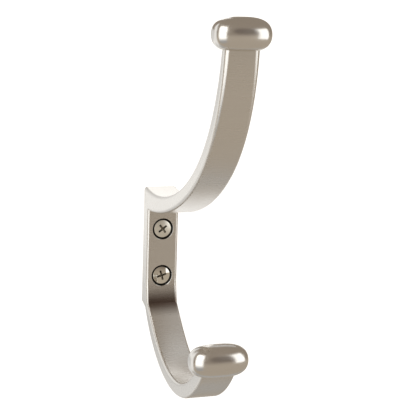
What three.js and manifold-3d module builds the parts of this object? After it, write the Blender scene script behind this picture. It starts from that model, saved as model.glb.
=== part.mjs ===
// Double-prong coat hook: a flat strap on the wall, a long upper prong, a J-shaped lower prong,
// a pill-shaped knob across the end of each prong, and the fixings that hold it together.
//
// Millimetres, +Z up. The wall is the plane Y = 0 and the hook stands out towards -Y. The origin
// is on the wall face, half way between the two mounting screws.
import * as THREE from 'three';
import { mergeVertices } from 'three/addons/utils/BufferGeometryUtils.js';
import Module from 'manifold-3d';

const wasm = await Module();
wasm.setup();

// ---------------------------------------------------------------- driving dimensions

const BAR_WIDTH = 15.6;
const EDGE_RADIUS = 1.4;
const EDGE_STEPS = 3;
const CURVE_STEPS = 32;
const FIT_GAP = 0.2; // clearance between pieces that touch
const SEAM_GAP = 0.3; // clearance across a brazed seam

// The side view of the bar is drawn as [distance out from the wall, height].
const PLATE_THICKNESS = 6.0;
const PLATE_TOP = 30.9;
const ARM_ROOT_UNDERSIDE = 20.4;
const BEND_START = -13.0;
const BEND_PULL = [6.2, -17.0]; // control point of the bend at the foot of the plate
const FOOT_AT_WALL = -25.6;
const FOOT_AT_ARM = [4.6, -27.2];
const UPPER_TIP_REAR = [99.0, 106.5];
const UPPER_TIP_FRONT = [103.6, 106.5];
const LOWER_TIP_INNER = [83.6, -31.2];
const LOWER_TIP_OUTER = [88.6, -35.1];

// The two control points of each long curve of the outline, in drawing order.
const UPPER_REAR_PULLS = [[28.4, 24.5], [89.9, 39.3]];
const UPPER_FRONT_PULLS = [[98.8, 39.1], [36.6, 21.1]];
const LOWER_INNER_PULLS = [[16.6, -32.6], [48.0, -71.7]];
const LOWER_OUTER_PULLS = [[65.0, -68.0], [24.0, -57.6]];

// Seam between plate and lower arm, from the front face to the rear.
const LOWER_SEAM_FRONT = [7.9, -24.2];
const LOWER_SEAM_REAR = FOOT_AT_ARM;

const KNOB_ROUNDNESS = 2.8; // exponent of the rounded profile: 2 is an ellipse, higher is squarer
const KNOB_SIDES = 32;
const KNOB_RINGS = 20;
const UPPER_KNOB = { out: 100.4, height: 109.0, length: 25.0, diameter: 14.2 };
const LOWER_KNOB = { out: 86.2, height: -30.2, length: 26.3, diameter: 14.7 };

// No. 8 x 3/4 in countersunk wood screw with a cross recess.
const SCREW_PITCH = 22.6;
const SCREW_HOLE_DIAMETER = 4.8;
const COUNTERSINK_DIAMETER = 10.2;
const COUNTERSINK_HALF_ANGLE = THREE.MathUtils.degToRad(41);
const SCREW_HEAD_RADIUS = 4.15;
const SCREW_RIM = 0.2;
const SCREW_DOME = 0.4;
const DOME_STEPS = 4;
const SCREW_SHANK_RADIUS = 2.05;
const SCREW_POINT_LENGTH = 4.6;
const SCREW_LENGTH = 19.05;
const CROSS_SPAN = 5.0;
const CROSS_WIDTH = 1.1;
const CROSS_DEPTH = 2.0;
const CROSS_TURN = { upper: 38, lower: 17 }; // degrees

// M2.5 x 12 countersunk socket screws that hold the upper arm to the plate.
const ARM_SCREW_SPACING = 7.2;
const ARM_SCREW_HEIGHT = 24.4;
const ARM_SCREW = { head: 2.35, shank: 1.25, length: 12, rim: 0.25, sunk: 0.2 };
const ARM_SCREW_SOCKET = { acrossFlats: 1.5, depth: 1.0 };

// Dowels across the seam between plate and lower arm.
const DOWEL = { radius: 1.0, length: 8.0, spacing: 7.6 };

// Blind pins that lock each knob on the end of its arm, driven in from the wall side.
const KNOB_PIN = { radius: 1.0, length: 8.5, chamfer: 0.25 };
const KNOB_PIN_SUNK = 0.4;
const UPPER_PIN_DROP = 4.0; // from the knob's centre back down the arm
const LOWER_PIN_DROP = 2.6;

const SATIN_NICKEL = { color: 0xb5a999, roughness: 0.34, metalness: 1.0 };
const POLISHED_NICKEL = { color: 0xc4b8a8, roughness: 0.18, metalness: 1.0 };
const SCREW_NICKEL = { color: 0xd6cbb4, roughness: 0.16, metalness: 1.0 };
const STEEL = { color: 0x8d9094, roughness: 0.4, metalness: 1.0 };

// ---------------------------------------------------------------- solids

const FAR = 200; // reach of a cutting tool past the part
const ROUND_SIDES = 24;

// Side view [out, height] to part axes: out is -Y, height is +Z, and the extrusion runs along X.
const SIDE_VIEW = new THREE.Matrix4().makeBasis(
  new THREE.Vector3(0, -1, 0),
  new THREE.Vector3(0, 0, 1),
  new THREE.Vector3(-1, 0, 0),
);

function solidFrom(geometry) {
  const plain = geometry.index ? geometry.toNonIndexed() : geometry.clone();
  plain.deleteAttribute('normal');
  plain.deleteAttribute('uv');
  const merged = mergeVertices(plain, 1e-4);
  return new wasm.Manifold(new wasm.Mesh({
    numProp: 3,
    vertProperties: merged.attributes.position.array,
    triVerts: merged.index.array,
  }));
}

function geometryFrom(solid) {
  const mesh = solid.getMesh();
  const geometry = new THREE.BufferGeometry();
  geometry.setAttribute('position', new THREE.BufferAttribute(mesh.vertProperties, mesh.numProp));
  geometry.setIndex(new THREE.BufferAttribute(mesh.triVerts, 1));
  geometry.computeVertexNormals();
  return geometry;
}

function meshOf(name, geometry, material) {
  const mesh = new THREE.Mesh(geometry, new THREE.MeshStandardMaterial(material));
  mesh.name = name;
  return mesh;
}

// A straight prism across the bar, from a polygon in the side view.
function sidePrism(points, width) {
  const shape = new THREE.Shape(points.map(([out, height]) => new THREE.Vector2(out, height)));
  const geometry = new THREE.ExtrudeGeometry(shape, { depth: width, bevelEnabled: false });
  geometry.translate(0, 0, -width / 2);
  return solidFrom(geometry.applyMatrix4(SIDE_VIEW));
}

// A turned piece: profile is [radius, height] from the bottom of the axis to the top.
function turned(profile, sides = ROUND_SIDES) {
  return new THREE.LatheGeometry(profile.map(([r, h]) => new THREE.Vector2(r, h)), sides);
}

function rod(radius, from, to) {
  return turned([[0, from], [radius, from], [radius, to], [0, to]]);
}

// Placement whose local +Y points along a side-view direction.
function placement(x, [out, height], [dirOut, dirHeight]) {
  const axis = new THREE.Vector3(0, -dirOut, dirHeight).normalize();
  const turn = new THREE.Quaternion().setFromUnitVectors(new THREE.Vector3(0, 1, 0), axis);
  return new THREE.Matrix4().compose(
    new THREE.Vector3(x, -out, height),
    turn,
    new THREE.Vector3(1, 1, 1),
  );
}

function place(mesh, matrix) {
  matrix.decompose(mesh.position, mesh.quaternion, mesh.scale);
  return mesh;
}

function cut(solid, ...tools) {
  return tools.reduce((rest, tool) => rest.subtract(tool), solid);
}

// ---------------------------------------------------------------- side-view helpers

const add = (p, q, k = 1) => [p[0] + k * q[0], p[1] + k * q[1]];
const midpoint = (p, q) => [(p[0] + q[0]) / 2, (p[1] + q[1]) / 2];

function direction(from, to) {
  const length = Math.hypot(to[0] - from[0], to[1] - from[1]);
  return [(to[0] - from[0]) / length, (to[1] - from[1]) / length];
}

// ---------------------------------------------------------------- the bar and its seams

// The whole bar as one outline. It starts behind the wall plane, and is cut off there, so the
// edges on the wall stay sharp while every other edge is rounded.
function barOutline() {
  const behindWall = -4;
  const shape = new THREE.Shape();
  shape.moveTo(behindWall, FOOT_AT_WALL);
  shape.lineTo(behindWall, PLATE_TOP);
  shape.lineTo(0, PLATE_TOP);
  shape.bezierCurveTo(...UPPER_REAR_PULLS.flat(), ...UPPER_TIP_REAR);
  shape.lineTo(...UPPER_TIP_FRONT);
  shape.bezierCurveTo(...UPPER_FRONT_PULLS.flat(), PLATE_THICKNESS, ARM_ROOT_UNDERSIDE);
  shape.lineTo(PLATE_THICKNESS, BEND_START);
  shape.quadraticCurveTo(...BEND_PULL, ...LOWER_SEAM_FRONT);
  shape.bezierCurveTo(...LOWER_INNER_PULLS.flat(), ...LOWER_TIP_INNER);
  shape.lineTo(...LOWER_TIP_OUTER);
  shape.bezierCurveTo(...LOWER_OUTER_PULLS.flat(), ...FOOT_AT_ARM);
  shape.lineTo(0, FOOT_AT_WALL);
  shape.closePath();
  return shape;
}

// With grow, the bar is swollen by that much all round: the cutter for a piece that fits over it.
function barSolid(grow = 0) {
  const depth = BAR_WIDTH - 2 * EDGE_RADIUS + 2 * grow;
  const geometry = new THREE.ExtrudeGeometry(barOutline(), {
    depth,
    curveSegments: CURVE_STEPS,
    bevelEnabled: true,
    bevelThickness: EDGE_RADIUS,
    bevelSize: EDGE_RADIUS,
    bevelOffset: grow - EDGE_RADIUS,
    bevelSegments: EDGE_STEPS,
  });
  geometry.translate(0, 0, -depth / 2);
  const bar = solidFrom(geometry.applyMatrix4(SIDE_VIEW));
  const wall = sidePrism([[-FAR, -FAR], [0, -FAR], [0, FAR], [-FAR, FAR]], FAR);
  return bar.subtract(wall);
}

const MITRE_OUTER = [0, PLATE_TOP];
const MITRE_INNER = [PLATE_THICKNESS, ARM_ROOT_UNDERSIDE];
const mitreRun = direction(MITRE_OUTER, MITRE_INNER);
const mitreNormal = [-mitreRun[1], mitreRun[0]]; // out of the plate, into the upper arm
const seamRun = direction(LOWER_SEAM_REAR, LOWER_SEAM_FRONT);
const seamNormal = [seamRun[1], -seamRun[0]]; // out of the plate, into the lower arm
const SEAM_REACH = 6;

// Side-view region on one side of each seam: side is 1 for the arm and -1 for the plate.
function mitreEdge(side) {
  const shift = side * SEAM_GAP / 2;
  return [
    add(add(MITRE_OUTER, mitreNormal, shift), mitreRun, -SEAM_REACH),
    add(MITRE_INNER, mitreNormal, shift),
  ];
}

function seamEdge(side) {
  const shift = side * SEAM_GAP / 2;
  return [
    add(add(LOWER_SEAM_FRONT, seamNormal, shift), seamRun, SEAM_REACH),
    add(add(LOWER_SEAM_REAR, seamNormal, shift), seamRun, -SEAM_REACH),
  ];
}

function upperArmRegion() {
  const [above, corner] = mitreEdge(1);
  return [above, corner, [FAR, corner[1]], [FAR, FAR], [above[0], FAR]];
}

function plateRegion() {
  const [above, corner] = mitreEdge(-1);
  const [front, rear] = seamEdge(-1);
  return [above, corner, [front[0], corner[1]], front, rear, [-FAR / 2, rear[1]], [-FAR / 2, above[1]]];
}

function lowerArmRegion() {
  const [front, rear] = seamEdge(1);
  return [front, [FAR, front[1]], [FAR, -FAR], [rear[0], -FAR], rear];
}

// ---------------------------------------------------------------- screws, dowels and pins

function mountingScrewGeometry(turn) {
  const coneHeight = (SCREW_HEAD_RADIUS - SCREW_SHANK_RADIUS) / Math.tan(COUNTERSINK_HALF_ANGLE);
  const profile = [
    [0, -SCREW_LENGTH],
    [SCREW_SHANK_RADIUS, -SCREW_LENGTH + SCREW_POINT_LENGTH],
    [SCREW_SHANK_RADIUS, -SCREW_RIM - coneHeight],
    [SCREW_HEAD_RADIUS, -SCREW_RIM],
    [SCREW_HEAD_RADIUS, 0],
  ];
  for (let i = 1; i <= DOME_STEPS; i += 1) {
    const share = i / DOME_STEPS;
    profile.push([SCREW_HEAD_RADIUS * (1 - share), SCREW_DOME * (1 - (1 - share) ** 2)]);
  }
  const wing = new THREE.BoxGeometry(CROSS_SPAN, CROSS_DEPTH * 2, CROSS_WIDTH);
  wing.rotateY(turn);
  const crossWing = wing.clone().rotateY(Math.PI / 2);
  wing.translate(0, SCREW_DOME, 0);
  crossWing.translate(0, SCREW_DOME, 0);
  return geometryFrom(cut(solidFrom(turned(profile)), solidFrom(wing), solidFrom(crossWing)));
}

// How far out of the wall the rim of a mounting screw's head lies when it is seated.
function seatedRim() {
  const drop = COUNTERSINK_DIAMETER / 2 - SCREW_HEAD_RADIUS - FIT_GAP / Math.cos(COUNTERSINK_HALF_ANGLE);
  return PLATE_THICKNESS - drop / Math.tan(COUNTERSINK_HALF_ANGLE) + SCREW_RIM;
}

function countersunkHole() {
  const outer = COUNTERSINK_DIAMETER / 2;
  const inner = SCREW_HOLE_DIAMETER / 2;
  const coneDepth = (outer - inner) / Math.tan(COUNTERSINK_HALF_ANGLE);
  const past = 1;
  const flare = outer + past * Math.tan(COUNTERSINK_HALF_ANGLE);
  return turned([
    [0, -past],
    [inner, -past],
    [inner, PLATE_THICKNESS - coneDepth],
    [flare, PLATE_THICKNESS + past],
    [0, PLATE_THICKNESS + past],
  ], 2 * ROUND_SIDES);
}

function armScrewGeometry() {
  const { head, shank, length, rim } = ARM_SCREW;
  const chamfer = 0.4;
  const profile = [
    [0, -length],
    [shank - chamfer, -length],
    [shank, -length + chamfer],
    [shank, -rim - (head - shank)],
    [head, -rim],
    [head, 0],
    [0, 0],
  ];
  const hexRadius = ARM_SCREW_SOCKET.acrossFlats / Math.sqrt(3);
  const hex = new THREE.CylinderGeometry(hexRadius, hexRadius, 2 * ARM_SCREW_SOCKET.depth, 6);
  return geometryFrom(cut(solidFrom(turned(profile)), solidFrom(hex)));
}

function armScrewHole() {
  const { head, shank, length, rim } = ARM_SCREW;
  const slack = FIT_GAP * Math.SQRT2;
  const past = 1;
  return turned([
    [0, -length - FIT_GAP],
    [shank + FIT_GAP, -length - FIT_GAP],
    [shank + FIT_GAP, -rim - (head - shank)],
    [head + slack, -rim],
    [head + slack, past],
    [0, past],
  ]);
}

function pinGeometry(radius, length, chamfer) {
  return turned([
    [0, -length / 2],
    [radius - chamfer, -length / 2],
    [radius, -length / 2 + chamfer],
    [radius, length / 2 - chamfer],
    [radius - chamfer, length / 2],
    [0, length / 2],
  ]);
}

// ---------------------------------------------------------------- knobs

// Which way each arm's end runs in the side view.
const UPPER_RUN = direction(UPPER_FRONT_PULLS[0], UPPER_TIP_FRONT);
const LOWER_RUN = direction(LOWER_OUTER_PULLS[0], LOWER_TIP_OUTER);

// Rounded pill profile, turned about its long axis and laid along X.
function knobGeometry({ length, diameter }) {
  const profile = [];
  for (let i = 0; i <= KNOB_RINGS; i += 1) {
    const along = -Math.cos((Math.PI * i) / KNOB_RINGS);
    const radius = (1 - Math.abs(along) ** KNOB_ROUNDNESS) ** (1 / KNOB_ROUNDNESS);
    profile.push([radius * diameter / 2, along * length / 2]);
  }
  return turned(profile, KNOB_SIDES).rotateZ(Math.PI / 2);
}

// ---------------------------------------------------------------- assembly

const group = new THREE.Group();
const bar = barSolid();
const knobSocket = barSolid(SEAM_GAP);

const screwHeights = [SCREW_PITCH / 2, -SCREW_PITCH / 2];
const screwHoles = screwHeights.map((height) => (
  solidFrom(countersunkHole().applyMatrix4(placement(0, [0, height], [1, 0])))
));

const armScrewSeats = [-1, 1].map((side) => (
  placement(side * ARM_SCREW_SPACING / 2, [ARM_SCREW.sunk, ARM_SCREW_HEIGHT], [-1, 0])
));
const armScrewHoles = armScrewSeats.map((seat) => solidFrom(armScrewHole().applyMatrix4(seat)));

const seamMiddle = midpoint(LOWER_SEAM_FRONT, LOWER_SEAM_REAR);
const dowelSeats = [-1, 1].map((side) => placement(side * DOWEL.spacing / 2, seamMiddle, seamNormal));
const dowelBore = DOWEL.length / 2 + FIT_GAP;
const dowelHoles = dowelSeats.map((seat) => (
  solidFrom(rod(DOWEL.radius + FIT_GAP, -dowelBore, dowelBore).applyMatrix4(seat))
));

// Each knob's pin runs straight out from the wall side, through the middle of the arm's end.
const knobs = [
  { label: 'upper', pill: UPPER_KNOB, run: UPPER_RUN, pinDrop: UPPER_PIN_DROP },
  { label: 'lower', pill: LOWER_KNOB, run: LOWER_RUN, pinDrop: LOWER_PIN_DROP },
].map((knob) => {
  const centre = [knob.pill.out, knob.pill.height];
  const acrossArm = [knob.run[1], -knob.run[0]];
  const along = add(centre, knob.run, -knob.pinDrop);
  const chord = Math.sqrt((knob.pill.diameter / 2) ** 2 - knob.pinDrop ** 2);
  const outerEnd = add(along, acrossArm, -(chord - KNOB_PIN_SUNK));
  const pinMiddle = add(outerEnd, acrossArm, KNOB_PIN.length / 2);
  const pinSeat = placement(0, pinMiddle, acrossArm);
  const half = KNOB_PIN.length / 2;
  const past = 3;
  const bore = rod(KNOB_PIN.radius + FIT_GAP, -half - past, half + FIT_GAP);
  return { ...knob, pinSeat, pinHole: solidFrom(bore.applyMatrix4(pinSeat)) };
});
const [upperKnob, lowerKnob] = knobs;

const barWithin = (region) => bar.intersect(sidePrism(region, FAR));
const plate = cut(barWithin(plateRegion()), ...screwHoles, ...armScrewHoles, ...dowelHoles);
const upperArm = cut(barWithin(upperArmRegion()), ...armScrewHoles, upperKnob.pinHole);
const lowerArm = cut(barWithin(lowerArmRegion()), ...dowelHoles, lowerKnob.pinHole);

group.add(meshOf('back_plate', geometryFrom(plate), SATIN_NICKEL));
group.add(meshOf('upper_arm', geometryFrom(upperArm), SATIN_NICKEL));
group.add(meshOf('lower_arm', geometryFrom(lowerArm), SATIN_NICKEL));

for (const knob of knobs) {
  const body = knobGeometry(knob.pill).translate(0, -knob.pill.out, knob.pill.height);
  const shaped = cut(solidFrom(body), knobSocket, knob.pinHole);
  group.add(meshOf(`${knob.label}_knob`, geometryFrom(shaped), POLISHED_NICKEL));
  const pin = pinGeometry(KNOB_PIN.radius, KNOB_PIN.length, KNOB_PIN.chamfer);
  group.add(place(meshOf(`${knob.label}_knob_pin`, pin, STEEL), knob.pinSeat));
}

['upper', 'lower'].forEach((label, i) => {
  const turn = THREE.MathUtils.degToRad(CROSS_TURN[label]);
  const screw = meshOf(`${label}_mounting_screw`, mountingScrewGeometry(turn), SCREW_NICKEL);
  group.add(place(screw, placement(0, [seatedRim(), screwHeights[i]], [1, 0])));
});

['left', 'right'].forEach((label, i) => {
  group.add(place(meshOf(`arm_screw_${label}`, armScrewGeometry(), STEEL), armScrewSeats[i]));
  const dowel = pinGeometry(DOWEL.radius, DOWEL.length, KNOB_PIN.chamfer);
  group.add(place(meshOf(`dowel_${label}`, dowel, STEEL), dowelSeats[i]));
});

export default group;
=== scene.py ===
import math

import bmesh
import bpy
from mathutils import Matrix, Vector


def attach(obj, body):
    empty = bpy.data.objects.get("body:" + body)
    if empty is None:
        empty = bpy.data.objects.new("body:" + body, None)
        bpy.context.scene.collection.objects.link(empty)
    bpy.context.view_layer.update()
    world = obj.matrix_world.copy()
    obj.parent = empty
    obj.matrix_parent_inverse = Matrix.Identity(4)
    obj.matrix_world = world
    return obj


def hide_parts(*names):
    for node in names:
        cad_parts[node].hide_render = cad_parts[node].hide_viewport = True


# Satin nickel double coat hook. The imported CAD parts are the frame, and a finer mesh stands for
# each of them. Sizes are in millimetres and are scaled to metres as each mesh is made. A side-view
# point is (out, height): out is the distance from the wall, along -Y, and height is along +Z.

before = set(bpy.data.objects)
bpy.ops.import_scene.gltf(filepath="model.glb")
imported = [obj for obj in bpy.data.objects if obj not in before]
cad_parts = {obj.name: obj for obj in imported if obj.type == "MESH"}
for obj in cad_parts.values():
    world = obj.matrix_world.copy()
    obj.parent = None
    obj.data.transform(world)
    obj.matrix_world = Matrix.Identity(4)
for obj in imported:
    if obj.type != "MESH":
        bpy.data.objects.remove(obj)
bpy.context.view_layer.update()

MM = 0.001

# ------------------------------------------------------------------ dimensions, as in the CAD

BAR_WIDTH = 15.6
EDGE_RADIUS = 1.4
PLATE_THICKNESS = 6.0
PLATE_TOP = 30.9
ARM_ROOT_UNDERSIDE = 20.4
BEND_START = -13.0
BEND_PULL = (6.2, -17.0)
FOOT_AT_WALL = -25.6
FOOT_AT_ARM = (4.6, -27.2)
UPPER_TIP_REAR = (99.0, 106.5)
UPPER_TIP_FRONT = (103.6, 106.5)
LOWER_TIP_INNER = (83.6, -31.2)
LOWER_TIP_OUTER = (88.6, -35.1)
LOWER_SEAM_FRONT = (7.9, -24.2)
UPPER_REAR_PULLS = ((28.4, 24.5), (89.9, 39.3))
UPPER_FRONT_PULLS = ((98.8, 39.1), (36.6, 21.1))
LOWER_INNER_PULLS = ((16.6, -32.6), (48.0, -71.7))
LOWER_OUTER_PULLS = ((65.0, -68.0), (24.0, -57.6))

KNOB_ROUNDNESS = 2.8
UPPER_KNOB = {"centre": (100.4, 109.0), "length": 25.0, "diameter": 14.2}
LOWER_KNOB = {"centre": (86.2, -30.2), "length": 26.3, "diameter": 14.7}

SCREW_PITCH = 22.6
SCREW_HOLE_RADIUS = 2.4
COUNTERSINK_RADIUS = 5.1
COUNTERSINK_SLOPE = math.tan(math.radians(41))
SCREW_HEAD_RADIUS = 4.15
SCREW_RIM = 0.2
SCREW_DOME = 0.4
SCREW_SHANK_RADIUS = 2.05
SCREW_POINT_LENGTH = 4.6
SCREW_LENGTH = 19.05
SCREW_RIM_DEPTH = 0.6
CROSS_TURN = {"upper": 38, "lower": 17}

ARM_SCREW_SPACING = 7.2
ARM_SCREW_HEIGHT = 24.4
ARM_SCREW_HEAD = 2.35
ARM_SCREW_SHANK = 1.25
ARM_SCREW_LENGTH = 12.0
ARM_SCREW_RIM = 0.25
ARM_SCREW_SUNK = 0.2
DOWEL_RADIUS = 1.0
DOWEL_LENGTH = 8.0
DOWEL_SPACING = 7.6
KNOB_PIN_RADIUS = 1.0
KNOB_PIN_LENGTH = 8.5
KNOB_PIN_SUNK = 0.4
PIN_DROP = {"upper": 4.0, "lower": 2.6}

# Only the visual model has these: how fine the meshes are, and how close the pieces fit.
ARM_STATIONS = 110
EDGE_STEPS = 8
SEAM_GAP = 0.04
SOCKET_GAP = 0.14
HOLE_GAP = 0.08
BEHIND_WALL = 4.0
BORE_PAST_KNOB = 3.0  # how far the cutter for a pin runs out of the wall side of the knob
COUNTERSINK_LIP = 0.09  # depth of the bright lip above the countersink's painted shade
NECK_RADIUS = 2.7  # front edges of the upper arm, where they run under the knob
NECK_START = 0.45


# ------------------------------------------------------------------ curves of the side view

def bezier(points, t):
    a, b, c, d = (Vector(p) for p in points)
    s = 1 - t
    return a * s**3 + b * (3 * s * s * t) + c * (3 * s * t * t) + d * t**3


def traced(points, start=0.0, end=1.0, steps=400):
    return [bezier(points, start + (end - start) * i / steps) for i in range(steps + 1)]


def spread(path, count):
    """The path as count + 1 points at even distances along it, each with its direction."""
    lengths = [0.0]
    for a, b in zip(path, path[1:]):
        lengths.append(lengths[-1] + (b - a).length)
    found = []
    leg = 0
    for i in range(count + 1):
        goal = lengths[-1] * i / count
        while leg < len(path) - 2 and lengths[leg + 1] < goal:
            leg += 1
        share = (goal - lengths[leg]) / (lengths[leg + 1] - lengths[leg])
        run = (path[leg + 1] - path[leg]).normalized()
        found.append((path[leg].lerp(path[leg + 1], share), run))
    return found


def cross2(a, b):
    return a[0] * b[1] - a[1] * b[0]


def raised(start, pull, end):
    """The cubic curve that is the same as the quadratic curve through these points."""
    start, pull, end = (Vector(p) for p in (start, pull, end))
    return [start, start.lerp(pull, 2 / 3), end.lerp(pull, 2 / 3), end]


UPPER_REAR = traced([(0, PLATE_TOP), *UPPER_REAR_PULLS, UPPER_TIP_REAR])
UPPER_FRONT = traced([(PLATE_THICKNESS, ARM_ROOT_UNDERSIDE), *reversed(UPPER_FRONT_PULLS), UPPER_TIP_FRONT])
LOWER_OUTER = traced([FOOT_AT_ARM, *reversed(LOWER_OUTER_PULLS), LOWER_TIP_OUTER])
LOWER_INNER = traced([LOWER_SEAM_FRONT, *LOWER_INNER_PULLS, LOWER_TIP_INNER])
BEND = traced(raised((PLATE_THICKNESS, BEND_START), BEND_PULL, LOWER_SEAM_FRONT))


def side_point(point, x=0.0):
    return Vector((x, -point[0], point[1])) * MM


# ------------------------------------------------------------------ mesh helpers

def new_object(name, bm):
    bmesh.ops.recalc_face_normals(bm, faces=bm.faces)
    mesh = bpy.data.meshes.new(name)
    bm.to_mesh(mesh)
    bm.free()
    obj = bpy.data.objects.new(name, mesh)
    bpy.context.scene.collection.objects.link(obj)
    return obj


def loft(name, rings, matrix=None):
    """A closed mesh through rings of equal length, with a flat face over each end."""
    bm = bmesh.new()
    made = [[bm.verts.new(p) for p in ring] for ring in rings]
    count = len(made[0])
    for lower, upper in zip(made, made[1:]):
        for i in range(count):
            j = (i + 1) % count
            bm.faces.new((lower[i], lower[j], upper[j], upper[i]))
    bm.faces.new(list(reversed(made[0])))
    bm.faces.new(made[-1])
    if matrix:
        bm.transform(matrix)
    return new_object(name, bm)


def turned(name, profile, matrix=None, sides=64):
    """A closed turned solid: profile is (radius, height) up the local Z axis, in millimetres."""
    bm = bmesh.new()
    rings = []
    for radius, height in profile:
        if radius == 0:
            rings.append([bm.verts.new((0, 0, height * MM))])
            continue
        ring = []
        for i in range(sides):
            angle = 2 * math.pi * i / sides
            point = Vector((radius * math.cos(angle), radius * math.sin(angle), height))
            ring.append(bm.verts.new(point * MM))
        rings.append(ring)
    for lower, upper in zip(rings, rings[1:]):
        for i in range(sides):
            j = (i + 1) % sides
            corners = [lower[i % len(lower)], lower[j % len(lower)]]
            corners += [upper[j % len(upper)], upper[i % len(upper)]]
            bm.faces.new(list(dict.fromkeys(corners)))
    if matrix:
        bm.transform(matrix)
    return new_object(name, bm)


def upright(x, point, direction):
    """Placement whose local Z runs along a side-view direction."""
    axis = Vector((0, -direction[0], direction[1])).normalized()
    across = Vector((1, 0, 0))
    other = axis.cross(across)
    turn = Matrix((across, other, axis)).transposed().to_4x4()
    return Matrix.Translation(side_point(point, x)) @ turn


def arc(centre, radius, start, end, steps):
    """Points of an arc in (radius, height) space; angles in degrees, with both ends."""
    points = []
    for i in range(steps + 1):
        angle = math.radians(start + (end - start) * i / steps)
        points.append((centre[0] + radius * math.cos(angle), centre[1] + radius * math.sin(angle)))
    return points


def apply_modifiers(obj):
    graph = bpy.context.evaluated_depsgraph_get()
    mesh = bpy.data.meshes.new_from_object(obj.evaluated_get(graph))
    obj.modifiers.clear()
    old = obj.data
    obj.data = mesh
    bpy.data.meshes.remove(old)


def carve(obj, *cutters):
    for cutter in cutters:
        modifier = obj.modifiers.new("carve", "BOOLEAN")
        modifier.operation = "DIFFERENCE"
        modifier.solver = "EXACT"
        modifier.object = cutter
        apply_modifiers(obj)


def discard(*objects):
    for obj in objects:
        mesh = obj.data
        bpy.data.objects.remove(obj)
        bpy.data.meshes.remove(mesh)


def finish_piece(obj, node, material, crease=24):
    """Smooth shading with creases, the finish, and the piece's place in the frame."""
    bm = bmesh.new()
    bm.from_mesh(obj.data)
    bmesh.ops.remove_doubles(bm, verts=bm.verts, dist=0.002 * MM)
    bmesh.ops.dissolve_degenerate(bm, edges=bm.edges, dist=0.002 * MM)
    bm.to_mesh(obj.data)
    bm.free()
    obj.data.shade_smooth()
    obj.data.set_sharp_from_angle(angle=math.radians(crease))
    weigh = obj.modifiers.new("flat faces stay flat", "WEIGHTED_NORMAL")
    weigh.keep_sharp = True
    apply_modifiers(obj)
    obj.data.materials.clear()
    obj.data.materials.append(material)
    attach(obj, "root")
    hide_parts(node)


def darken(obj, material, is_recess):
    """Give a second, darker material to the faces that lie in a recess, as painted shade."""
    obj.data.materials.append(material)
    for face in obj.data.polygons:
        x, y, z = face.center / MM
        if is_recess(x, -y, z):
            face.material_index = 1


# ------------------------------------------------------------------ the bar

FLAT_STEPS = 6
SIDE_STEPS = 2
SUPPORT = 0.12  # how far inside a flat its first row of points lies, so that the flat shades flat


def flat_run(start, end, steps):
    """Points along a flat from start towards end, without the last one."""
    length = (end - start).length
    inset = min(0.25, SUPPORT / length)
    shares = [0.0, inset]
    shares += [inset + (1 - 2 * inset) * i / steps for i in range(1, steps)]
    shares.append(1 - inset)
    return [start.lerp(end, share) for share in shares]


def section(rear, front, rear_run, front_run, grow, front_radius):
    """A rounded rectangle across the bar, as a ring of points in metres."""
    along = (front - rear).normalized()
    rear_skew = 1 / max(0.2, abs(cross2(along, rear_run)))
    front_skew = 1 / max(0.2, abs(cross2(along, front_run)))
    start = -grow * rear_skew
    end = (front - rear).length + grow * front_skew
    half = BAR_WIDTH / 2 + grow
    corners = [
        (end, half, -front_radius * front_skew, -front_radius, 0),
        (start, half, EDGE_RADIUS * rear_skew, -EDGE_RADIUS, 1),
        (start, -half, EDGE_RADIUS * rear_skew, EDGE_RADIUS, 0),
        (end, -half, -front_radius * front_skew, front_radius, 1),
    ]
    outline = []
    for s, x, reach_s, reach_x, along_first in corners:
        arc_points = []
        for i in range(EDGE_STEPS + 1):
            angle = math.pi / 2 * i / EDGE_STEPS
            near = 1 - math.cos(angle)
            far = 1 - math.sin(angle)
            share_s, share_x = (far, near) if along_first else (near, far)
            arc_points.append(Vector((s + reach_s * share_s, x + reach_x * share_x)))
        outline.append(arc_points)
    ring = []
    for i, arc_points in enumerate(outline):
        ring += arc_points[:-1]
        steps = SIDE_STEPS if i % 2 == 0 else FLAT_STEPS
        ring += flat_run(arc_points[-1], outline[(i + 1) % 4][0], steps)
    return [side_point(rear + along * s, x) for s, x in ring]


def swept_bar(name, rear_path, front_path, grow=0.0, neck_radius=EDGE_RADIUS):
    """The bar between two matched lists of (point, direction). Towards the far end its front
    edges soften to neck_radius."""
    rings = []
    for i, ((rear, rear_run), (front, front_run)) in enumerate(zip(rear_path, front_path)):
        share = i / (len(rear_path) - 1)
        softened = max(0.0, (share - NECK_START) / (1 - NECK_START)) ** 2
        front_radius = EDGE_RADIUS + (neck_radius - EDGE_RADIUS) * softened
        rings.append(section(rear, front, rear_run, front_run, grow, front_radius))
    return loft(name, rings)


def shifted(stations, gap):
    """The same stations with the end at the seam moved back along the bar by half a gap."""
    (first, run), *rest = stations
    return [(first + run * gap, run), *rest]


def upper_arm_mesh(name, grow=0.0):
    rear = shifted(spread(UPPER_REAR, ARM_STATIONS), SEAM_GAP)
    front = shifted(spread(UPPER_FRONT, ARM_STATIONS), SEAM_GAP)
    return swept_bar(name, rear, front, grow, NECK_RADIUS)


def lower_arm_mesh(name, grow=0.0):
    rear = shifted(spread(LOWER_OUTER, ARM_STATIONS), SEAM_GAP)
    front = shifted(spread(LOWER_INNER, ARM_STATIONS), SEAM_GAP)
    return swept_bar(name, rear, front, grow)


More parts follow.
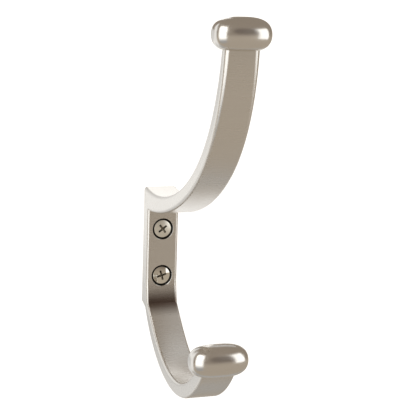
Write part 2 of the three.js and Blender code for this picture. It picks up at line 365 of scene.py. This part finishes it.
def plate_mesh(name):
    """The plate is swept with its back behind the wall plane, and then cut off at the wall."""
    level = 14.0
    mitre_top = Vector((0, PLATE_TOP))
    mitre_front = Vector((PLATE_THICKNESS, ARM_ROOT_UNDERSIDE))
    behind_top = Vector((-BEHIND_WALL, PLATE_TOP - 2.5))
    parts = [
        (
            [mitre_top, behind_top, Vector((-BEHIND_WALL, level))],
            [mitre_front, Vector((PLATE_THICKNESS, level))],
            16,
        ),
        (
            [Vector((-BEHIND_WALL, level)), Vector((-BEHIND_WALL, BEND_START))],
            [Vector((PLATE_THICKNESS, level)), Vector((PLATE_THICKNESS, BEND_START))],
            16,
        ),
        (
            [Vector((-BEHIND_WALL, BEND_START)), Vector((-BEHIND_WALL, FOOT_AT_WALL))],
            BEND[: len(BEND) // 2 + 1],
            10,
        ),
        (
            [Vector((-BEHIND_WALL, FOOT_AT_WALL)), Vector((0, FOOT_AT_WALL))],
            BEND[len(BEND) // 2 : len(BEND) * 4 // 5 + 1],
            5,
        ),
        (
            [Vector((0, FOOT_AT_WALL)), Vector(FOOT_AT_ARM)],
            BEND[len(BEND) * 4 // 5 :],
            5,
        ),
    ]
    rear, front = [], []
    for rear_leg, front_leg, count in parts:
        rear += spread(rear_leg, count)[1 if rear else 0 :]
        front += spread(front_leg, count)[1 if front else 0 :]
    rear[0] = (rear[0][0] - Vector((0, SEAM_GAP)), (UPPER_REAR[1] - UPPER_REAR[0]).normalized())
    front[0] = (front[0][0] - Vector((0, SEAM_GAP)), front[0][1])
    plate = swept_bar(name, rear, front)
    bm = bmesh.new()
    bm.from_mesh(plate.data)
    geometry = bm.verts[:] + bm.edges[:] + bm.faces[:]
    cut = bmesh.ops.bisect_plane(bm, geom=geometry, plane_co=(0, 0, 0), plane_no=(0, 1, 0), clear_outer=True)
    rim = [e for e in cut["geom_cut"] if isinstance(e, bmesh.types.BMEdge)]
    bmesh.ops.contextual_create(bm, geom=rim)
    bmesh.ops.recalc_face_normals(bm, faces=bm.faces)
    bm.to_mesh(plate.data)
    bm.free()
    return plate


# ------------------------------------------------------------------ knobs

def knob_mesh(name, pill, arm_end):
    """A rounded pill: a cube's grid pushed out to the turned profile, with a socket for the arm."""
    bm = bmesh.new()
    bmesh.ops.create_cube(bm, size=2)
    bmesh.ops.subdivide_edges(bm, edges=bm.edges, cuts=31, use_grid_fill=True)
    for vert in bm.verts:
        # tangent spacing keeps the grid even over the curved surface
        p = Vector([math.tan(c * math.pi / 4) for c in vert.co]).normalized()
        around = math.hypot(p.y, p.z)
        reach = (abs(p.x) ** KNOB_ROUNDNESS + around**KNOB_ROUNDNESS) ** (-1 / KNOB_ROUNDNESS)
        size = Vector((pill["length"], pill["diameter"], pill["diameter"]))
        vert.co = p * size * (reach / 2 * MM)
    bm.transform(Matrix.Translation(side_point(pill["centre"])))
    knob = new_object(name, bm)
    carve(knob, arm_end)
    return knob


# ------------------------------------------------------------------ screws, dowels and pins

def threaded_shank(radius, depth, pitch, top, bottom, point, sides=48, per_turn=10):
    """Rings of a threaded shank from top down to the point, in millimetres along local Z."""
    rings = []
    count = round((top - bottom) / pitch * per_turn)
    for k in range(count + 1):
        height = top + (bottom - top) * k / count
        body = radius - depth
        above_point = height - bottom
        taper = min(1.0, max(0.02, above_point / point)) if point else 1.0
        run_out = min(1.0, (top - height) / pitch)
        ring = []
        for i in range(sides):
            angle = 2 * math.pi * i / sides
            phase = (height / pitch - i / sides) % 1.0
            crest = max(0.0, 1 - abs(phase - 0.5) * 4) * run_out
            r = (body + depth * crest) * taper
            ring.append((r * math.cos(angle), r * math.sin(angle), height))
        rings.append(ring)
    return rings


def circle(radius, height, sides):
    steps = [2 * math.pi * i / sides for i in range(sides)]
    return [(radius * math.cos(a), radius * math.sin(a), height) for a in steps]


def screw_mesh(name, head_profile, shank_rings, matrix, sides=48):
    """head_profile is (radius, height) from the top of the head down to the shank."""
    rings = [circle(r, h, sides) for r, h in head_profile] + shank_rings
    scaled = [[Vector(p) * MM for p in ring] for ring in rings]
    return loft(name, scaled, matrix)


def cross_recess(name, matrix, turn):
    """The cutter for a cross recess: four tapering wings round a conical middle."""
    span, width, depth, above = 5.0, 0.95, 2.3, 1.0
    spin = Matrix.Rotation(math.radians(turn), 4, "Z")
    cutters = []
    for quarter in (0, 90):
        wing_turn = Matrix.Rotation(math.radians(quarter), 4, "Z")
        rings = []
        for height, reach, half in (
            (above, span / 2 + 0.25, width / 2 + 0.06),
            (0.0, span / 2, width / 2),
            (-depth * 0.55, span * 0.33, width * 0.42),
            (-depth * 0.8, span * 0.16, width * 0.34),
        ):
            chamfer = half * 0.35
            corners = [
                (reach, half - chamfer), (reach - chamfer, half),
                (-reach + chamfer, half), (-reach, half - chamfer),
                (-reach, chamfer - half), (chamfer - reach, -half),
                (reach - chamfer, -half), (reach, chamfer - half),
            ]
            rings.append([Vector((x, y, height)) * MM for x, y in corners])
        cutters.append(loft(name, rings, matrix @ spin @ wing_turn))
    cone = [(0, -depth), (width * 0.9, -depth * 0.35), (width * 1.05, above), (0, above)]
    cutters.append(turned(name, cone, matrix, sides=24))
    return cutters


def mounting_screw(label, height, material):
    rim_out = PLATE_THICKNESS - SCREW_RIM_DEPTH
    matrix = upright(0, (rim_out, height), (1, 0))
    cone = (SCREW_HEAD_RADIUS - SCREW_SHANK_RADIUS) / COUNTERSINK_SLOPE
    dome = [(SCREW_HEAD_RADIUS * (1 - i / 8), SCREW_DOME * (1 - (1 - i / 8) ** 2)) for i in range(7, 0, -1)]
    soft = 0.07
    head = [(0.02, SCREW_DOME)] + dome + [
        (SCREW_HEAD_RADIUS - soft * 0.3, 0.0),
        (SCREW_HEAD_RADIUS, -soft),
        (SCREW_HEAD_RADIUS, -SCREW_RIM + soft * 0.5),
        (SCREW_HEAD_RADIUS - soft, -SCREW_RIM - soft * 0.5),
        (SCREW_SHANK_RADIUS + 0.15, -SCREW_RIM - cone + 0.12),
        (SCREW_SHANK_RADIUS - 0.02, -SCREW_RIM - cone - 0.15),
        (SCREW_SHANK_RADIUS - 0.25, -SCREW_RIM - cone - 0.9),
    ]
    shank = threaded_shank(
        SCREW_SHANK_RADIUS, 0.5, 1.6, -SCREW_RIM - cone - 1.1, -SCREW_LENGTH, SCREW_POINT_LENGTH
    )
    name = f"{label}_wood_screw"
    screw = screw_mesh(name, head, shank, matrix)
    cutters = cross_recess("recess", matrix @ Matrix.Translation((0, 0, SCREW_DOME * MM)), CROSS_TURN[label])
    carve(screw, *cutters)
    discard(*cutters)
    finish_piece(screw, f"{label}_mounting_screw", material, crease=30)

    def in_cross(x, out, z):
        radius = math.hypot(x, z - height)
        surface = rim_out + SCREW_DOME * (1 - (radius / SCREW_HEAD_RADIUS) ** 2)
        return radius < 2.6 and rim_out - 2.3 < out < surface - 0.15

    # the faces in the cross recess get painted shade
    darken(screw, painted_cross_shade, in_cross)


def countersunk_hole(height):
    inner = SCREW_HOLE_RADIUS
    outer = COUNTERSINK_RADIUS
    depth = (outer - inner) / COUNTERSINK_SLOPE
    soft = 0.16
    past = 1.0
    profile = [
        (0, -past),
        (inner + 0.15, -past),
        (inner + 0.15, 0.0),
        (inner, 0.15),
        (inner, PLATE_THICKNESS - depth),
        (outer - soft * 0.55, PLATE_THICKNESS - soft * 0.85),
        (outer - soft * 0.15, PLATE_THICKNESS - soft * 0.38),
        (outer + soft * 0.45, PLATE_THICKNESS),
        (outer + soft * 0.45 + 0.5, PLATE_THICKNESS + 1.5),
        (0, PLATE_THICKNESS + 1.5),
    ]
    return turned("hole", profile, upright(0, (0, height), (1, 0)), sides=96)


def arm_screw_placement(side):
    return upright(side * ARM_SCREW_SPACING / 2, (ARM_SCREW_SUNK, ARM_SCREW_HEIGHT), (-1, 0))


def arm_screw_hole(side):
    head = ARM_SCREW_HEAD + HOLE_GAP * 1.5
    shank = ARM_SCREW_SHANK + HOLE_GAP
    past = 1.0
    profile = [
        (0, -ARM_SCREW_LENGTH - HOLE_GAP),
        (shank, -ARM_SCREW_LENGTH - HOLE_GAP),
        (shank, -ARM_SCREW_RIM - (ARM_SCREW_HEAD - ARM_SCREW_SHANK)),
        (head, -ARM_SCREW_RIM),
        (head, past),
        (0, past),
    ]
    return turned("hole", profile, arm_screw_placement(side), sides=48)


def arm_screw(label, side, material):
    neck = -ARM_SCREW_RIM - (ARM_SCREW_HEAD - ARM_SCREW_SHANK)
    soft = 0.08
    head = [
        (0.02, 0.0),
        (ARM_SCREW_HEAD - soft, 0.0),
        (ARM_SCREW_HEAD, -soft),
        (ARM_SCREW_HEAD, -ARM_SCREW_RIM),
        (ARM_SCREW_SHANK, neck),
        (ARM_SCREW_SHANK - 0.2, neck - 0.3),
    ]
    shank = threaded_shank(ARM_SCREW_SHANK, 0.26, 0.45, neck - 0.5, -ARM_SCREW_LENGTH, 0)
    screw = screw_mesh(f"{label}_arm_screw", head, shank, arm_screw_placement(side))
    hex_radius = 1.5 / math.sqrt(3)
    socket_profile = [
        (0, -1.25),
        (hex_radius * 0.9, -1.0),
        (hex_radius, -0.9),
        (hex_radius, -0.08),
        (hex_radius + 0.3, 0.25),
        (0, 0.25),
    ]
    socket = turned("socket", socket_profile, arm_screw_placement(side), sides=6)
    carve(screw, socket)
    discard(socket)
    finish_piece(screw, f"arm_screw_{label}", material)


def pin_profile(radius, length, chamfer=0.25):
    half = length / 2
    lower = arc((radius - chamfer, -half + chamfer), chamfer, -90, 0, 5)
    upper = arc((radius - chamfer, half - chamfer), chamfer, 0, 90, 5)
    return [(0, -half), *lower, *upper, (0, half)]


def bore_profile(radius, start, end):
    return [(0, start), (radius + HOLE_GAP, start), (radius + HOLE_GAP, end), (0, end)]


# ------------------------------------------------------------------ materials

COLOUR_A, COLOUR_B, COLOUR_RESULT = 6, 7, 2  # the colour sockets of a Mix node
SATIN_TINT = (0.80, 0.77, 0.72)
# Painted shade: a dark band is painted into the colour of the flat fronts on both sides of the seam between
# the plate and the lower arm.
SEAM_HEIGHT = LOWER_SEAM_FRONT[1] * MM
SEAM_SHADE_COLOUR = (0.22, 0.17, 0.15, 1)  # what the colour is multiplied by where the painted shade at the seam is strongest
SHADE_ABOVE_SEAM = 0.0085
SHADE_BELOW_SEAM = -0.0060


def node_material(name):
    material = bpy.data.materials.new(name)
    material.use_nodes = True
    nodes = material.node_tree.nodes
    return material, nodes, material.node_tree.links, nodes["Principled BSDF"]


def eased_share(nodes, links, value, none_at, full_at):
    """0 where the value is none_at and 1 where it is full_at."""
    share = nodes.new("ShaderNodeMapRange")
    share.interpolation_type = "SMOOTHSTEP"
    for socket, number in zip(("From Min", "From Max", "To Min", "To Max"), (none_at, full_at, 0.0, 1.0)):
        share.inputs[socket].default_value = number
    links.new(value, share.inputs["Value"])
    return share.outputs["Result"]


def painted_shade_at_seam(nodes, links, place, colour, reach):
    """Paint shade into the colour of the flat front next to the seam between the plate and the lower arm."""
    position = nodes.new("ShaderNodeSeparateXYZ")
    links.new(place.outputs["Object"], position.inputs[0])
    normal = nodes.new("ShaderNodeSeparateXYZ")
    links.new(place.outputs["Normal"], normal.inputs[0])
    side = nodes.new("ShaderNodeMath")
    side.operation = "ABSOLUTE"
    links.new(position.outputs["X"], side.inputs[0])
    edge = BAR_WIDTH / 2 * MM
    amount = eased_share(nodes, links, position.outputs["Z"], SEAM_HEIGHT + reach, SEAM_HEIGHT)
    for value, none_at, full_at in [
        (side.outputs[0], edge - 0.4 * EDGE_RADIUS * MM, edge - 0.7 * EDGE_RADIUS * MM),
        (normal.outputs["Y"], -0.3, -0.6),
    ]:
        product = nodes.new("ShaderNodeMath")
        product.operation = "MULTIPLY"
        links.new(amount, product.inputs[0])
        links.new(eased_share(nodes, links, value, none_at, full_at), product.inputs[1])
        amount = product.outputs[0]
    mixed = nodes.new("ShaderNodeMix")
    mixed.data_type = "RGBA"
    mixed.blend_type = "MULTIPLY"
    mixed.inputs[COLOUR_B].default_value = SEAM_SHADE_COLOUR
    links.new(amount, mixed.inputs["Factor"])
    links.new(colour, mixed.inputs[COLOUR_A])
    return mixed.outputs[COLOUR_RESULT]


def brushed_nickel(name, tint, roughness, grain, grain_strength, anisotropy, seam_shade_reach=0.0):
    """Metal with fine lines along X: tint varies along the lines, roughness and bump across them. With a
    seam shade reach, shade is also painted into the colour next to the seam.
    """
    material, nodes, links, shader = node_material(name)
    shader.inputs["Metallic"].default_value = 1.0
    shader.inputs["Anisotropic"].default_value = anisotropy
    shader.inputs["Anisotropic Rotation"].default_value = 0.25
    tangent = nodes.new("ShaderNodeCombineXYZ")
    tangent.inputs["X"].default_value = 1.0
    links.new(tangent.outputs[0], shader.inputs["Tangent"])
    place = nodes.new("ShaderNodeTexCoord")

    def lines(across, along, detail):
        mapping = nodes.new("ShaderNodeMapping")
        mapping.inputs["Scale"].default_value = (along, across, across)
        links.new(place.outputs["Object"], mapping.inputs["Vector"])
        noise = nodes.new("ShaderNodeTexNoise")
        noise.inputs["Scale"].default_value = 1.0
        noise.inputs["Detail"].default_value = detail
        links.new(mapping.outputs["Vector"], noise.inputs["Vector"])
        return noise.outputs["Fac"]

    def ranged(value, low, high):
        node = nodes.new("ShaderNodeMapRange")
        node.inputs["From Min"].default_value = 0.3
        node.inputs["From Max"].default_value = 0.7
        node.inputs["To Min"].default_value = low
        node.inputs["To Max"].default_value = high
        links.new(value, node.inputs["Value"])
        return node.outputs["Result"]

    fine = lines(grain, grain / 40, 3.0)
    broad = lines(grain / 6, grain / 150, 2.0)
    mottle = lines(60, 60, 2.0)

    mixed = nodes.new("ShaderNodeMath")
    mixed.operation = "ADD"
    links.new(ranged(fine, -0.5, 0.5), mixed.inputs[0])
    links.new(ranged(broad, -0.35, 0.35), mixed.inputs[1])

    rough = nodes.new("ShaderNodeMath")
    rough.operation = "MULTIPLY_ADD"
    rough.inputs[1].default_value = 0.05 * grain_strength
    links.new(mixed.outputs[0], rough.inputs[0])
    links.new(ranged(mottle, roughness - 0.015, roughness + 0.015), rough.inputs[2])
    links.new(rough.outputs[0], shader.inputs["Roughness"])

    shade = nodes.new("ShaderNodeMath")
    shade.operation = "MULTIPLY_ADD"
    shade.inputs[1].default_value = 0.035 * grain_strength
    shade.inputs[2].default_value = 1.0
    links.new(mixed.outputs[0], shade.inputs[0])
    colour = nodes.new("ShaderNodeVectorMath")
    colour.operation = "SCALE"
    colour.inputs[0].default_value = tint
    links.new(shade.outputs[0], colour.inputs["Scale"])
    finished = colour.outputs[0]
    # painted shade next to the seam darkens the colour
    if seam_shade_reach:
        finished = painted_shade_at_seam(nodes, links, place, finished, seam_shade_reach)
    links.new(finished, shader.inputs["Base Color"])

    bump = nodes.new("ShaderNodeBump")
    bump.inputs["Strength"].default_value = 0.10 * grain_strength
    bump.inputs["Distance"].default_value = 0.00002
    links.new(mixed.outputs[0], bump.inputs["Height"])
    links.new(bump.outputs["Normal"], shader.inputs["Normal"])
    return material


satin_nickel = brushed_nickel("satin_nickel", SATIN_TINT, 0.29, 5200, 0.8, 0.75)
# these two carry the painted shade next to the seam between the plate and the lower arm
plate_nickel = brushed_nickel("plate_nickel", SATIN_TINT, 0.29, 5200, 0.8, 0.75, SHADE_ABOVE_SEAM)
lower_nickel = brushed_nickel("lower_nickel", SATIN_TINT, 0.29, 5200, 0.8, 0.75, SHADE_BELOW_SEAM)
knob_nickel = brushed_nickel("knob_nickel", SATIN_TINT, 0.21, 3600, 0.25, 0.3)
dull_screw = brushed_nickel("dull_screw", (0.90, 0.87, 0.78), 0.34, 5200, 0.6, 0.0)
bright_screw = brushed_nickel("bright_screw", (0.88, 0.85, 0.77), 0.08, 5200, 0.4, 0.0)
# painted shade for the cross recesses of the mounting screws
painted_cross_shade = brushed_nickel("painted_cross_shade", (0.30, 0.27, 0.22), 0.30, 3000, 1.0, 0.0)
# painted shade: a near-black colour for the countersink walls round the screw heads
painted_recess_shade = brushed_nickel("painted_recess_shade", (0.02, 0.018, 0.016), 0.45, 3000, 1.0, 0.0)
plain_steel = brushed_nickel("plain_steel", (0.56, 0.56, 0.57), 0.32, 5200, 0.8, 0.0)


# ------------------------------------------------------------------ assembly

def build_hook():
    screw_heights = {"upper": SCREW_PITCH / 2, "lower": -SCREW_PITCH / 2}
    sides = {"left": -1, "right": 1}

    plate = plate_mesh("wall_plate")
    upper_arm = upper_arm_mesh("upper_prong")
    lower_arm = lower_arm_mesh("lower_prong")

    seam_run = (Vector(LOWER_SEAM_FRONT) - Vector(FOOT_AT_ARM)).normalized()
    seam_normal = (seam_run[1], -seam_run[0])
    seam_middle = (Vector(LOWER_SEAM_FRONT) + Vector(FOOT_AT_ARM)) / 2

    holes = [countersunk_hole(height) for height in screw_heights.values()]
    carve(plate, *holes)
    discard(*holes)

    arm_holes = [arm_screw_hole(side) for side in sides.values()]
    carve(plate, *arm_holes)
    carve(upper_arm, *arm_holes)
    discard(*arm_holes)

    dowel_places = {
        label: upright(side * DOWEL_SPACING / 2, seam_middle, seam_normal)
        for label, side in sides.items()
    }
    bore = bore_profile(DOWEL_RADIUS, -DOWEL_LENGTH / 2 - HOLE_GAP, DOWEL_LENGTH / 2 + HOLE_GAP)
    dowel_holes = [turned("bore", bore, placed, sides=48) for placed in dowel_places.values()]
    carve(plate, *dowel_holes)
    carve(lower_arm, *dowel_holes)
    discard(*dowel_holes)

    ends = {
        "upper": (UPPER_KNOB, UPPER_FRONT_PULLS[0], UPPER_TIP_FRONT, upper_arm, upper_arm_mesh),
        "lower": (LOWER_KNOB, LOWER_OUTER_PULLS[0], LOWER_TIP_OUTER, lower_arm, lower_arm_mesh),
    }
    for label, (pill, pull, tip, arm, arm_mesh) in ends.items():
        run = (Vector(tip) - Vector(pull)).normalized()
        across = Vector((run[1], -run[0]))
        drop = PIN_DROP[label]
        chord = math.sqrt((pill["diameter"] / 2) ** 2 - drop**2)
        outer_end = Vector(pill["centre"]) - run * drop - across * (chord - KNOB_PIN_SUNK)
        place = upright(0, outer_end + across * (KNOB_PIN_LENGTH / 2), across)

        socket = arm_mesh("socket", grow=SOCKET_GAP)
        knob = knob_mesh(f"{label}_pill", pill, socket)
        half = KNOB_PIN_LENGTH / 2
        pin_bore = bore_profile(KNOB_PIN_RADIUS, -half - BORE_PAST_KNOB, half + HOLE_GAP)
        pin_hole = turned("bore", pin_bore, place, sides=48)
        carve(knob, pin_hole)
        carve(arm, pin_hole)
        discard(socket, pin_hole)
        finish_piece(knob, f"{label}_knob", knob_nickel)

        pin = turned(f"{label}_pin", pin_profile(KNOB_PIN_RADIUS, KNOB_PIN_LENGTH), place, sides=48)
        finish_piece(pin, f"{label}_knob_pin", plain_steel)

    mounting_screw("upper", screw_heights["upper"], dull_screw)
    mounting_screw("lower", screw_heights["lower"], bright_screw)

    for label, side in sides.items():
        arm_screw(label, side, plain_steel)
        dowel_profile = pin_profile(DOWEL_RADIUS, DOWEL_LENGTH)
        dowel = turned(f"{label}_dowel", dowel_profile, dowel_places[label], sides=48)
        finish_piece(dowel, f"dowel_{label}", plain_steel)

    finish_piece(plate, "back_plate", plate_nickel)

    def in_countersink(x, out, z):
        near = min(math.hypot(x, z - height) for height in screw_heights.values())
        return near < COUNTERSINK_RADIUS and 0.05 < out < PLATE_THICKNESS - COUNTERSINK_LIP

    # the countersink walls get near-black painted shade
    darken(plate, painted_recess_shade, in_countersink)
    finish_piece(upper_arm, "upper_arm", satin_nickel)
    finish_piece(lower_arm, "lower_arm", lower_nickel)


build_hook()


# ------------------------------------------------------------------ floor, light and camera

FLOOR_HEIGHT = -0.34
FLOOR_REACH = 30.0
BACKDROP_RADIUS = 45.0
FLOOR_GLOW = 1.0  # lifts the floor to the white of a lit studio sweep

CAMERA_AT = (-0.2021, -0.6228, 0.1402)
CAMERA_TURN = (-20, 10.32, 1.80)  # azimuth, elevation and roll in degrees
CAMERA_LENS = 120.65

# What the metal mirrors: a dim warm room, lighter below, with one dark patch in front.
ROOM_HIGH = (0.31, 0.265, 0.22)
ROOM_LOW = (0.45, 0.395, 0.33)
DARK_PATCH = (0.17, 0.14, 0.12)
DARK_PATCH_AT = (0.347, -0.860, 0.375)

# Glowing cards that only the metal sees: middle, direction they face, width, height, radiance.
CARDS = {
    "left_card": ((-0.44, -0.46, 0.06), (0.73, 0.68, 0), 0.60, 1.84, 1.50),
    "right_card": ((0.42, -0.385, 0.185), (-0.76, 0.65, 0), 0.38, 0.55, 1.45),
    "left_rear_card": ((-0.42, 0.07, -0.02), (0, -1, 0), 0.52, 0.94, 0.98),
    "rear_card": ((-0.0775, 0.07, -0.035), (0, -1, 0), 0.165, 0.33, 1.08),
    "high_rear_card": ((0.0275, 0.06, 0.145), (0, -1, 0), 0.045, 0.22, 1.40),
    "low_rear_card": ((-0.035, 0.07, -0.56), (0, -1, 0), 0.80, 0.60, 0.45),
    "root_card": ((0.08, 0.07, -0.06), (0, -1, 0), 0.15, 0.16, 1.20),
    "cradle_card": ((0.052, -0.012, 0.06), (0, 0, -1), 0.05, 0.045, 0.65),
}
# How bright a card is at each height, as a share of its radiance. The others are even.
SHADING = {
    "left_card": ((-0.42, 0.25), (-0.25, 0.62), (-0.15, 1.0), (0.30, 1.0), (0.50, 1.6)),
    "rear_card": ((-0.10, 0.74), (-0.055, 0.58), (-0.005, 0.94), (0.012, 1.0), (0.06, 0.74), (0.13, 0.66)),
}


def studio_floor():
    bm = bmesh.new()
    corners = [(-1, -1), (1, -1), (1, 1), (-1, 1)]
    bm.faces.new([bm.verts.new((x * FLOOR_REACH, y * FLOOR_REACH, FLOOR_HEIGHT)) for x, y in corners])
    floor = new_object("floor", bm)
    material, _, _, shader = node_material("pale_floor")
    shader.inputs["Base Color"].default_value = (0.86, 0.855, 0.845, 1)
    shader.inputs["Roughness"].default_value = 0.8
    shader.inputs["Emission Color"].default_value = (1, 1, 1, 1)
    shader.inputs["Emission Strength"].default_value = FLOOR_GLOW
    floor.data.materials.append(material)
    floor.visible_glossy = False


def studio_backdrop():
    """A white surround that only the camera sees."""
    bm = bmesh.new()
    bmesh.ops.create_icosphere(bm, subdivisions=4, radius=BACKDROP_RADIUS)
    backdrop = new_object("backdrop", bm)
    material, _, _, shader = node_material("white_backdrop")
    shader.inputs["Base Color"].default_value = (0, 0, 0, 1)
    shader.inputs["Emission Color"].default_value = (1, 1, 1, 1)
    shader.inputs["Emission Strength"].default_value = 1.0
    backdrop.data.materials.append(material)
    backdrop.visible_glossy = False
    backdrop.visible_diffuse = False
    backdrop.visible_shadow = False
    backdrop.visible_transmission = False


def studio_world():
    world = bpy.data.worlds.new("studio")
    bpy.context.scene.world = world
    world.use_nodes = True
    nodes = world.node_tree.nodes
    links = world.node_tree.links
    place = nodes.new("ShaderNodeTexCoord")
    split = nodes.new("ShaderNodeSeparateXYZ")
    links.new(place.outputs["Generated"], split.inputs[0])

    def mixed(share, first, second):
        node = nodes.new("ShaderNodeMix")
        node.data_type = "RGBA"
        links.new(share, node.inputs["Factor"])
        for socket, colour in ((node.inputs[COLOUR_A], first), (node.inputs[COLOUR_B], second)):
            if isinstance(colour, tuple):
                socket.default_value = (*colour, 1)
            else:
                links.new(colour, socket)
        return node.outputs[COLOUR_RESULT]

    height = eased_share(nodes, links, split.outputs["Z"], -0.25, 0.1)
    room = mixed(height, ROOM_LOW, ROOM_HIGH)
    nearness = nodes.new("ShaderNodeVectorMath")
    nearness.operation = "DOT_PRODUCT"
    nearness.inputs[1].default_value = DARK_PATCH_AT
    links.new(place.outputs["Generated"], nearness.inputs[0])
    patch = eased_share(nodes, links, nearness.outputs["Value"], 0.92, 0.985)
    surround = mixed(patch, room, DARK_PATCH)
    links.new(surround, nodes["Background"].inputs["Color"])


def shade_by_height(nodes, links, shader, shading):
    """Make the glow follow a list of (height, share of the radiance)."""
    (bottom, _), *_, (top, _) = shading
    place = nodes.new("ShaderNodeTexCoord")
    split = nodes.new("ShaderNodeSeparateXYZ")
    links.new(place.outputs["Object"], split.inputs[0])
    share = nodes.new("ShaderNodeMapRange")
    share.inputs["From Min"].default_value = bottom
    share.inputs["From Max"].default_value = top
    links.new(split.outputs["Z"], share.inputs["Value"])
    ramp = nodes.new("ShaderNodeValToRGB")
    stops = ramp.color_ramp.elements
    while len(stops) < len(shading):
        stops.new(0.5)
    for stop, (height, level) in zip(stops, shading):
        stop.position = (height - bottom) / (top - bottom)
        stop.color = (level, level, level, 1)
    links.new(share.outputs["Result"], ramp.inputs["Fac"])
    links.new(ramp.outputs["Color"], shader.inputs["Emission Color"])


def card(name, middle, facing, width, height, radiance, shading=None):
    """A glowing sheet that only the metal sees."""
    bm = bmesh.new()
    corners = [(-1, -1), (1, -1), (1, 1), (-1, 1)]
    bm.faces.new([bm.verts.new((x * width / 2, 0, z * height / 2)) for x, z in corners])
    sheet = new_object(name, bm)
    turn = Vector(facing).to_track_quat("-Y", "Z").to_matrix().to_4x4()
    sheet.data.transform(Matrix.Translation(middle) @ turn)
    material, nodes, links, shader = node_material(name)
    shader.inputs["Base Color"].default_value = (0, 0, 0, 1)
    shader.inputs["Specular IOR Level"].default_value = 0.0
    shader.inputs["Emission Color"].default_value = (1, 1, 1, 1)
    shader.inputs["Emission Strength"].default_value = radiance
    if shading:
        shade_by_height(nodes, links, shader, shading)
    sheet.data.materials.append(material)
    sheet.visible_camera = False
    sheet.visible_diffuse = False
    sheet.visible_shadow = False


def studio_camera():
    """The camera looks down a little from the left front, rolled by a degree or two."""
    azimuth, elevation, roll = (math.radians(angle) for angle in CAMERA_TURN)
    backward = Vector((
        math.sin(azimuth) * math.cos(elevation),
        -math.cos(azimuth) * math.cos(elevation),
        math.sin(elevation),
    ))
    right = Vector((math.cos(azimuth), math.sin(azimuth), 0))
    up = backward.cross(right)
    rolled_right = right * math.cos(roll) + up * math.sin(roll)
    rolled_up = up * math.cos(roll) - right * math.sin(roll)
    data = bpy.data.cameras.new("camera")
    data.sensor_width = 36.0
    data.lens = CAMERA_LENS
    data.clip_start = 0.01
    camera = bpy.data.objects.new("camera", data)
    turn = Matrix((rolled_right, rolled_up, backward)).transposed().to_4x4()
    camera.matrix_world = Matrix.Translation(CAMERA_AT) @ turn
    bpy.context.scene.collection.objects.link(camera)
    bpy.context.scene.camera = camera


studio_floor()
studio_backdrop()
studio_world()
for label, place in CARDS.items():
    card(label, *place, SHADING.get(label))
studio_camera()
bpy.context.scene.view_settings.view_transform = "Standard"

bpy.context.view_layer.update()
